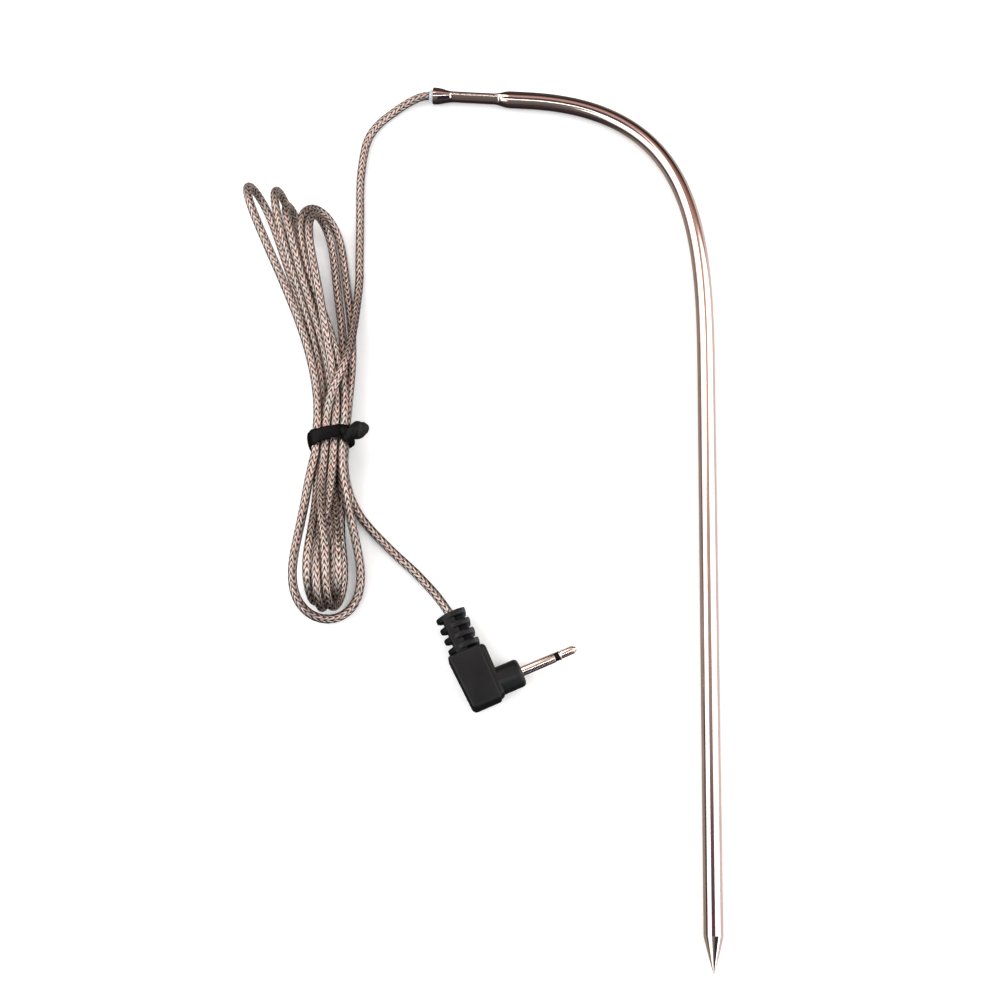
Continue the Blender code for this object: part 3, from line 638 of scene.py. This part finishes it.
def squeeze(s):
    """How far the tube is squeezed, 0 to 1, at a distance from the mouth."""
    nearer = np.minimum((s - RIM_LENGTH) / (NECK[0] - RIM_LENGTH), (CRIMP_END - s) / (CRIMP_END - NECK[1]))
    return ramped(nearer, 0, 1)


def sheath_line():
    """The sheath's centre line from the mouth to the cone, close together in the crimp and the bend."""
    lead = MOUTH + LEAD_WAY * np.linspace(0, LEAD_LENGTH, LEAD_RINGS)[:, None]
    t = np.linspace(0, 1, BEND_RINGS)[1:, None]
    b, c = BEND_START + LEAD_WAY * BEND_HANDLES[1], BEND_END + np.array([0, BEND_HANDLES[0]])
    bend = BEND_START * (1 - t)**3 + 3 * b * t * (1 - t)**2 + 3 * c * t * t * (1 - t) + BEND_END * t**3
    down = np.linspace(BEND_END[1], CONE_Y + 0.02, SHAFT_RINGS)[1:]
    flat = np.vstack([lead, bend, np.stack([np.full(len(down), SHAFT_X), down], 1)])
    return np.column_stack([flat, np.full(len(flat), TUBE_R)])


def crimped(s, wall):
    """(up, across) offsets of the ring at each distance from the mouth, this far inside the tube's outside:
    round, squeezed at the crimp, with two pressed flats."""
    radius, facet = TUBE_R - wall, FACET_DEPTH - wall
    neck = np.array([half - wall for half in NECK_HALF[::-1]])
    ring = circle(SHEATH_SIDES)[None] * (radius + (neck - radius) * squeeze(s)[:, None, None])
    turn = np.array([math.sin(FACET_TURN), math.cos(FACET_TURN)])
    out = ring @ turn
    reach = np.abs(out)
    into = np.minimum(s - FACET[0], FACET[1] - s)[:, None]
    depth = facet + (radius + FACET_START - facet) * np.exp(-np.maximum(into, 0) / FACET_FADE)
    softer = -np.logaddexp(-FACET_EDGE * reach, -FACET_EDGE * depth) / FACET_EDGE
    kept = np.minimum(np.clip(softer, 0, None) / np.maximum(reach, 1e-9), 1.0)
    kept = np.where(into > 0, kept, 1.0)
    return ring - ((1 - kept) * out)[..., None] * turn


line = sheath_line()
s = run_along(line)
outer = crimped(s, 0.0) * (1 - (RIM_BREAK - np.minimum(s, RIM_BREAK)[:, None, None]) / TUBE_R)
out_points, faces, _, uv = swept(line, outer, s)
in_points, *_ = swept(line, crimped(s, TUBE_WALL))
count = len(out_points)
rim = []
for i in range(SHEATH_SIDES):
    j = (i + 1) % SHEATH_SIDES
    last = count - SHEATH_SIDES
    rim.append((i, count + i, count + j, j))
    rim.append((last + j, last + count + j, last + count + i, last + i))
faces = np.vstack([faces, faces[:, ::-1] + count])
sheath = piece("probe_sheath", np.vstack([out_points, in_points]), faces, STEEL, uv=uv,
               sharp=32, extra=rim)
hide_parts("sheath_tube")


def turned(name, profile, at, way, finish, sides=48):
    """A lathe piece with its +X turned to a way, moved to a place."""
    points, faces, caps = lathe(profile, sides)
    return piece(name, pointed(points, way, at), faces, finish, sharp=35, extra=caps)


SPIGOT_R, SPIGOT_LENGTH = TUBE_R - TUBE_WALL - 0.15, 2.4
CONE_CURVE, CONE_BLUNT = 1.06, 0.12
t = np.linspace(0, 1, 40)
cone = [(CONE_LENGTH * x, TUBE_R * (1 - x**CONE_CURVE) + CONE_BLUNT * x) for x in t]
profile = [(-SPIGOT_LENGTH, 0.01), (-SPIGOT_LENGTH, SPIGOT_R), (0.0, SPIGOT_R), *cone, (CONE_LENGTH + 0.05, 0.03)]
point = turned("probe_point", profile, (SHAFT_X, CONE_Y, TUBE_R), (0, -1, 0), STEEL, 64)
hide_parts("point_plug")

profile = rounded([(-LINER_OUT, LINER_R[0]), (-LINER_OUT, LINER_R[1]), (LINER_IN, LINER_R[1])], 0.12)
profile = [*profile, (LINER_IN, LINER_R[0])]
points = lathe(profile)[0]
faces = grid_faces(len(profile), len(points) // len(profile), closed=True)[:, ::-1]
liner = piece("mouth_sleeve", pointed(points, (*LEAD_WAY, 0), (*MOUTH, TUBE_R)), faces, LINER, sharp=35)
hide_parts("mouth_liner")


# ---------------------------------------------------------------- plug

BODY_X, BODY_Y, BODY_HALF_HEIGHT = (-5.05, 5.05), (-4.6, 10.4), 4.3
STEP_X, STEP_HALF = 3.9, 3.75       # right of here the body is lower
SLANT, SLANT_Y = 0.20, 0.4          # the body's left side leans in below this y
RELIEF_LOW = 8.0                    # the strain relief's inner parts start in the body
WEB_X, WEB_HALF = (-2.4, 3.3), 1.5
SPINE_X, SPINE_HALF = (-2.45, 0.6), 3.3
FINS, FIN_PITCH, FIN_LENGTH = 4, 2.85, 1.55
FIN_HALF, FIN_GROWTH = 4.0, 0.08    # the last fin's half width, and how much wider the next ones are
FIN_LENS = (1.45, 0.5, 0.92)
FIN_HIGHLIGHT_X = (2.6, 3.8)             # the fins' right ends get a painted highlight from here to here
COLLAR_R, COLLAR_END = 3.7, 11.0
SOFT_EDGE = 1.15                    # radius of the edges of the collar and of the body's lower part
PIN_R, TIP_R, GROOVE_R = 1.25, 1.08, 0.95
SLEEVE_END = COLLAR_END + 9.2
RING_END = SLEEVE_END + 1.2
PIN_END = RING_END + 4.9


def rounded_outline(low, high, corners, steps=8):
    """A rectangle's outline with its own radius at each corner, anticlockwise from the lower left."""
    signs = ((-1, -1), (1, -1), (1, 1), (-1, 1))
    points = []
    for k, ((sx, sy), r) in enumerate(zip(signs, corners)):
        centre = np.array([(high[0] - r) if sx > 0 else (low[0] + r), (high[1] - r) if sy > 0 else (low[1] + r)])
        turn = np.radians(180 + 90 * k + np.linspace(0, 90, steps))
        points += list(centre + r * np.stack([np.cos(turn), np.sin(turn)], -1))
    return np.array(points)


def slab(low, high, corners, half_height, fillet, crown=0.0, steps=6):
    """A block with rounded corners and rounded top and bottom edges, and a slightly crowned top, as a bmesh."""
    bm = bmesh.new()
    angles = np.linspace(0, np.pi / 2, steps)
    levels = [(-half_height + fillet * (1 - math.sin(a)), fillet * (1 - math.cos(a))) for a in angles[::-1]]
    levels += [(-z, inset) for z, inset in levels[::-1]]
    rings = []
    for z, inset in levels:
        radii = [max(r - inset, 0.15) for r in corners]
        outline = rounded_outline(np.array(low) + inset, np.array(high) - inset, radii)
        rings.append([bm.verts.new((x, y, z)) for x, y in outline])
    for a, b in zip(rings, rings[1:]):
        for i in range(len(a)):
            j = (i + 1) % len(a)
            bm.faces.new((a[i], a[j], b[j], b[i]))
    for ring, rise in ((rings[0][::-1], 0.0), (rings[-1], crown)):
        centre = bm.verts.new(np.mean([v.co for v in ring], axis=0) + np.array([0, 0, rise]))
        for i in range(len(ring)):
            bm.faces.new((ring[i], ring[(i + 1) % len(ring)], centre))
    return bm


def object_of(name, bm):
    """A bmesh as an object."""
    bmesh.ops.recalc_face_normals(bm, faces=bm.faces)
    mesh = bpy.data.meshes.new(name)
    bm.to_mesh(mesh)
    bm.free()
    return linked(name, mesh)


def lathe_object(name, profile, turn=None, sides=48, lens=None):
    """A turned solid as an object in the plug's frame. With a lens, its round section becomes a pointed lens on
    the left, a top that falls off on the right, and a share of its height."""
    points, faces, caps = lathe(profile, sides)
    if turn is not None:
        points = points @ np.array(turn, float)
    if lens:
        sharpness, fall, share = lens
        reach = np.maximum(np.hypot(points[:, 0], points[:, 2]), 1e-9)
        out = points[:, 0] / reach
        left = np.clip(1 - np.abs(out) ** sharpness, 0, 1) ** (1 / sharpness)
        right = np.where(out > 0.999, 0.0, 1 - fall * np.clip(out - 0.5, 0, 1))
        points[:, 2] = np.sign(points[:, 2]) * reach * np.where(out < 0, left, right) * share
    mesh = bpy.data.meshes.new(name)
    mesh.from_pydata(points.tolist(), [], [list(map(int, f)) for f in [*faces, *caps]])
    return linked(name, mesh)


def rod(start, end, radius):
    """The profile of a plain rod."""
    return [(start, 0.01), (start, radius), (end, radius), (end, 0.01)]


def combined(obj, other, operation="UNION"):
    """Joins other to obj, or cuts it away, and removes other."""
    modifier = obj.modifiers.new("combine", "BOOLEAN")
    modifier.operation = operation
    modifier.object = other
    bpy.context.view_layer.update()
    mesh = bpy.data.meshes.new_from_object(obj.evaluated_get(bpy.context.evaluated_depsgraph_get()))
    obj.modifiers.clear()
    old, obj.data = obj.data, mesh
    bpy.data.meshes.remove(old)
    bpy.data.objects.remove(other, do_unlink=True)
    return obj


ALONG_Y = ((0, 1, 0), (1, 0, 0), (0, 0, -1))     # rows that send a lathe's +X to +Y

moulding = object_of("plug_moulding", slab((BODY_X[0], BODY_Y[0]), (STEP_X, BODY_Y[1]), (1.1, 0.9, 0.7, 0.7),
                                           BODY_HALF_HEIGHT, 0.8, 0.12))
moulding = combined(moulding, object_of("step", slab((0.0, BODY_Y[0] + 0.5), (BODY_X[1], BODY_Y[1] - 0.1),
                                                     (1.2, 1.3, 1.2, 1.2), STEP_HALF, SOFT_EDGE)))
moulding = combined(moulding, lathe_object("collar", rounded(rod(0, COLLAR_END, COLLAR_R), SOFT_EDGE)))
moulding = combined(moulding, object_of("web", slab((WEB_X[0], RELIEF_LOW), (WEB_X[1], RELIEF_END - 0.2),
                                                    (0.5,) * 4, WEB_HALF, 0.5)))
for i in range(FINS):
    end = RELIEF_END - i * FIN_PITCH
    profile = rounded(rod(end - FIN_LENGTH, end, FIN_HALF + FIN_GROWTH * i), 0.5)
    moulding = combined(moulding, lathe_object("fin", profile, ALONG_Y, 40, FIN_LENS))
moulding = combined(moulding, object_of("spine", slab((SPINE_X[0], RELIEF_LOW), (SPINE_X[1], RELIEF_END - 0.1),
                                                      (0.4,) * 4, SPINE_HALF, 0.4)))
way_in = lathe_object("way_in", rod(RELIEF_END - 5, RELIEF_END + 2, CABLE_R + 0.1), ALONG_Y)
moulding = combined(moulding, way_in, "DIFFERENCE")
pin_bore = lathe_object("pin_bore", rod(COLLAR_END - 3, COLLAR_END + 1, PIN_R + 0.06))
moulding = combined(moulding, pin_bore, "DIFFERENCE")

co = np.array([v.co for v in moulding.data.vertices])
x, y, _ = co.T
# Painted highlight on the fins' right ends and round the collar's rim, kept as wear
fin_end_highlight = ramped(x, *FIN_HIGHLIGHT_X) * (y > BODY_Y[1] + 0.2)
collar_rim_highlight = 0.8 * ramped(x, COLLAR_END - 0.8, COLLAR_END - 0.2)
store_painted_highlight(moulding, np.clip(fin_end_highlight + collar_rim_highlight, 0, 1))
co[:, 0] += np.clip((SLANT_Y - y) * SLANT, 0, None) * np.clip(x / BODY_X[0], 0, 1)
moulding.data.vertices.foreach_set("co", (in_plug(co) * MM).ravel())
finished(moulding, PLASTIC, PROBE, 32)
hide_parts("plug_overmould")

pin_way = in_plug([[1, 0, 0]])[0] - PLUG_AT
profile = rounded(rod(8.2, SLEEVE_END - 0.04, PIN_R), 0.1)
barrel = turned("pin_barrel", profile, PLUG_AT, pin_way, NICKEL)
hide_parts("jack_sleeve")
profile = rounded(rod(SLEEVE_END - 0.02, RING_END + 0.02, PIN_R - 0.12), 0.08)
ring = turned("pin_ring", profile, PLUG_AT, pin_way, RING)
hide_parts("jack_insulator")
profile = rounded([(RING_END + 0.04, 0.01), (RING_END + 0.04, PIN_R), (RING_END + 0.34, PIN_R),
                   (RING_END + 0.5, GROOVE_R), (RING_END + 0.66, TIP_R), (PIN_END - 0.95, TIP_R),
                   (PIN_END - 0.05, 0.48), (PIN_END, 0.01)], 0.1)
tip = turned("pin_tip", profile, PLUG_AT, pin_way, NICKEL)
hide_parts("jack_tip")


# ---------------------------------------------------------------- tie

WAIST_Z = 5.55
BAND = (5.6, 4.3)                   # half sizes of the loop across and up
BAND_HALF = (1.8, 0.62)             # half sizes of the flattened wire
BAND_SQUARENESS = 0.72
BAND_TURN = (52, 374)               # degrees round the hank, from the twist on its top
BAND_DRIFT = (0.7, -1.2)            # where the loop starts and ends along the hank
TAIL_R, TAIL_TWIST, TAIL_PHASE = 1.55, 6.4, 2.2
TAIL_APART = 0.80                   # each wire's distance from the twist's middle
TAIL_FROM, TAIL_TO = np.array([TIE_X + 4.1, TIE_Y + 0.1, 9.4]), np.array([TIE_X + 9.6, TIE_Y + 2.5, 8.6])
TIE_YAW = math.radians(13)
TIE_SIDES = 20


def wire_line():
    """The coated wire's centre line: a twisted end, over the strands, beneath them, and back up to the twist."""
    c, s = math.cos(TIE_YAW), math.sin(TIE_YAW)
    loop = []
    for k, a in enumerate(np.radians(np.linspace(*BAND_TURN, 15))):
        across, up = [abs(w) ** BAND_SQUARENESS * (1 if w > 0 else -1) for w in (math.cos(a), math.sin(a))]
        x, y = BAND[0] * across, BAND_DRIFT[0] + (BAND_DRIFT[1] - BAND_DRIFT[0]) * k / 14
        loop.append(np.array([TIE_X + c * x - s * y, TIE_Y + s * x + c * y, WAIST_Z + BAND[1] * up]))
    way = unit(TAIL_TO - TAIL_FROM)
    across = unit(np.cross(way, UP))
    up = np.cross(across, way)

    def strand(phase):
        points = []
        for t in np.linspace(0, 1, 9):
            turn = phase + TAIL_TWIST * t
            middle = TAIL_FROM + (TAIL_TO - TAIL_FROM) * t
            points.append(middle + TAIL_APART * (across * math.cos(turn) + up * math.sin(turn)))
        return points

    return resampled(catmull([*strand(TAIL_PHASE)[::-1], *loop, *strand(TAIL_PHASE + math.pi)], 8), 0.35)


path = wire_line()
s = run_along(path)
to_end = np.minimum(s, s[-1] - s)
flatness = ramped(to_end, 6.0, 11.0)                    # the wire is round in the twist and flat round the hank
taper = np.sqrt(1 - (1 - np.clip(to_end, 0, 1)) ** 2 * 0.9)
way = unit(np.gradient(path, axis=0))
lengthwise = np.broadcast_to(np.array([-math.sin(TIE_YAW), math.cos(TIE_YAW), 0.0]), path.shape)
flat_side = unit(lengthwise - way * (lengthwise * way).sum(1, keepdims=True))
flat_up = np.cross(way, flat_side)
half, thick = [size * flatness + TAIL_R * (1 - flatness) for size in BAND_HALF]
half = half * (1 + 0.2 * np.clip((TIE_X - path[:, 0]) / 5, -1, 1) * flatness)      # wider at the left
wobble = 1 + 0.05 * np.sin(s * 1.9) + 0.04 * np.sin(s * 4.3 + 1)
shape = circle(TIE_SIDES)
shape = (np.sign(shape) * np.abs(shape) ** 0.85)[None]
points = (path[:, None] + flat_side[:, None] * (shape[..., :1] * (half * taper * wobble)[:, None, None])
          + flat_up[:, None] * (shape[..., 1:] * (thick * taper)[:, None, None]))
tie = piece("wire_tie", points.reshape(-1, 3), grid_faces(len(path), TIE_SIDES), TIE, TIE_BODY,
            sharp=0, extra=end_caps(len(path), TIE_SIDES))
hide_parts("twist_tie")
# Painted sheen, lighter towards the twisted tail's end, kept as wear
from_middle = path[:, 0] - TIE_X
tail_painted_sheen = (0.25 + 0.75 * ramped(from_middle, 5.5, 8.5)) * (from_middle > 4.5)
store_painted_highlight(tie, np.repeat(tail_painted_sheen, TIE_SIDES))


# ---------------------------------------------------------------- inner pieces keep their CAD shape

CAD_FINISH = {
    "tip_potting": POTTING, "thermistor_bead": GLASS, "thermistor_leg_a": TINNED, "thermistor_leg_b": TINNED,
    "splice_crimp_a": TINNED, "splice_crimp_b": TINNED, "splice_sleeve_a": SLEEVING,
    "splice_sleeve_b": SLEEVING, "probe_wire_a": SLEEVING, "probe_wire_b": SLEEVING,
    "cable_end_in_crimp": BRAID_END, "cable_end_in_plug": BRAID_END, "plug_premould": PLASTIC,
    "sleeve_lug": NICKEL, "tip_lug": NICKEL, "solder_joint_a": TINNED, "solder_joint_b": TINNED,
    "plug_wire_a": SLEEVING, "plug_wire_b": SLEEVING, "braid_ferrule": NICKEL,
}
for name, finish in CAD_FINISH.items():
    node = bpy.data.objects[name]
    for slot_on_node in node.material_slots:
        slot_on_node.material = finish


# ---------------------------------------------------------------- stage

def floor_finish():
    """White table, lit past white as in the photograph, with painted zones that only glossy rays see.

    The zones stand for no real surrounding. They are tuned until the steel's reflections resemble the
    photograph's, so to gloss this floor isn't plain. With gloss left out of the mix below, the steel is paler.
    """
    g = Finish("white_table", Roughness=0.6, Emission_Color=(1.0, 1.0, 1.0, 1.0), Emission_Strength=0.17)
    g.set(Base_Color=g.mix(g.noise(6.0, 2.0, 0.5), (0.88, 0.88, 0.88), (0.90, 0.90, 0.895)))
    x, y, _ = g.split("Object")
    # The zones, in tenths of a metre across and fifths along: dark, warm, then bright to the right,
    # and lighter patches behind, at the far left and by the pin
    across, along = g.math("MULTIPLY", x, 10.0), g.math("MULTIPLY", y, 5.0)
    dark, warm, bright = (0.028, 0.018, 0.02), (0.44, 0.36, 0.32), (1.05, 0.86, 0.84)
    seen = g.ramp(across, (0.08, dark), (0.2, warm), (0.38, warm), (0.46, bright))
    behind = g.ramp(along, (0.25, 0.0), (0.45, 1.0), (0.53, 1.0), (0.57, 0.15))
    seen = g.mix(behind, seen, (0.085, 0.062, 0.066), "LIGHTEN")
    to_left = g.ramp(g.math("MULTIPLY", across, -1.0), (0.55, 0.0), (0.68, 1.0))
    far_left = g.math("MULTIPLY", g.ramp(along, (0.30, 0.0), (0.42, 1.0)), to_left)
    seen = g.mix(far_left, seen, (0.55, 0.50, 0.47), "LIGHTEN")
    before = g.ramp(g.math("MULTIPLY_ADD", y, 10.0, 0.7), (0.20, 0.0), (0.25, 1.0), (0.45, 1.0), (0.55, 0.0))
    by_pin = g.math("MULTIPLY", before, g.ramp(g.math("ABSOLUTE", across), (0.05, 1.0), (0.3, 0.0)))
    seen = g.mix(by_pin, seen, (0.62, 0.52, 0.46), "LIGHTEN")
    zones = g.node("ShaderNodeEmission", seen)
    gloss = g.node("ShaderNodeLightPath").outputs["Is Glossy Ray"]
    both = g.node("ShaderNodeMixShader", gloss, g.shader.outputs[0], zones.outputs[0])
    g.put(g.tree.nodes["Material Output"].inputs["Surface"], both.outputs[0])
    return g.material


FLOOR_HALF, FLOOR_Z = 3, -0.00003   # just beneath the plug's underside
mesh = bpy.data.meshes.new("floor")
corners = [(x * FLOOR_HALF, y * FLOOR_HALF, FLOOR_Z) for x, y in ((-1, -1), (1, -1), (1, 1), (-1, 1))]
mesh.from_pydata(corners, [], [(0, 1, 2, 3)])
mesh.materials.append(floor_finish())
linked("floor", mesh)


def softbox(name, at, aim, size, power, colour=(1, 1, 1)):
    """A rectangular studio light that the camera doesn't see."""
    light = bpy.data.lights.new(name, "AREA")
    light.shape = "RECTANGLE"
    light.size, light.size_y = size
    light.energy = power
    light.color = colour
    obj = bpy.data.objects.new(name, light)
    obj.location = at
    obj.visible_camera = False
    obj.rotation_mode = "QUATERNION"
    obj.rotation_quaternion = (Vector(aim) - Vector(at)).to_track_quat("-Z", "Y")
    bpy.context.scene.collection.objects.link(obj)


softbox("box_right", (0.60, 0.12, 0.46), (0.0, 0.12, 0.0), (0.86, 1.05), 6.2, (1.0, 0.99, 0.985))
softbox("box_left", (-0.60, -0.20, 0.52), (0.0, -0.20, 0.0), (1.5, 0.72), 8.0, (0.98, 0.99, 1.0))
softbox("box_low", (0.60, -0.42, 0.20), (0.0, -0.10, 0.0), (0.40, 0.28), 1.3, (1.0, 0.99, 0.985))
softbox("box_back", (-0.23, 0.42, 0.50), (0.0, -0.05, 0.0), (0.20, 0.50), 1.0, (1.0, 0.90, 0.82))
softbox("strip", (-0.06, -0.45, 1.20), (-0.05, 0.1, 0.0), (1.3, 0.08), 3.0)

# Bands that only glossy rays see in place of the plain grey world, tuned as the floor's zones are, by how
# far a direction leans towards the back
CEILING = ((-1.0, (0.16, 0.12, 0.12)), (-0.80, (0.23, 0.185, 0.165)), (-0.60, (0.34, 0.29, 0.25)),
           (-0.42, (0.28, 0.24, 0.21)), (-0.20, (0.12, 0.06, 0.095)), (0.05, (0.13, 0.065, 0.10)),
           (0.17, (0.56, 0.38, 0.36)), (0.38, (0.95, 0.58, 0.50)), (0.56, (0.42, 0.22, 0.17)),
           (0.76, (0.025, 0.018, 0.018)), (0.88, (0.045, 0.034, 0.034)), (1.0, (0.12, 0.10, 0.10)))
world = bpy.data.worlds.new("studio")
world.use_nodes = True
bpy.context.scene.world = world
g = Graph(world.node_tree)
to_right, to_back, _ = g.split("Generated")
ceiling = g.ramp(g.math("MULTIPLY_ADD", to_back, 0.5, 0.5),
                 *((0.5 + 0.5 * toward_back, colour) for toward_back, colour in CEILING))
# A dark patch in front at the right, painted for glossy rays only, which the point's cone shows as a painted
# reflection
front_right = g.math("MULTIPLY", g.eased(to_right, 0.06, 0.11), g.eased(to_back, -0.28, -0.40))
ceiling = g.mix(front_right, ceiling, (0.030, 0.028, 0.045))
gloss = g.node("ShaderNodeLightPath").outputs["Is Glossy Ray"]
g.put(g.tree.nodes["Background"].inputs[0], g.mix(gloss, (0.22, 0.225, 0.23), ceiling))
bpy.context.scene.view_settings.view_transform = "Standard"
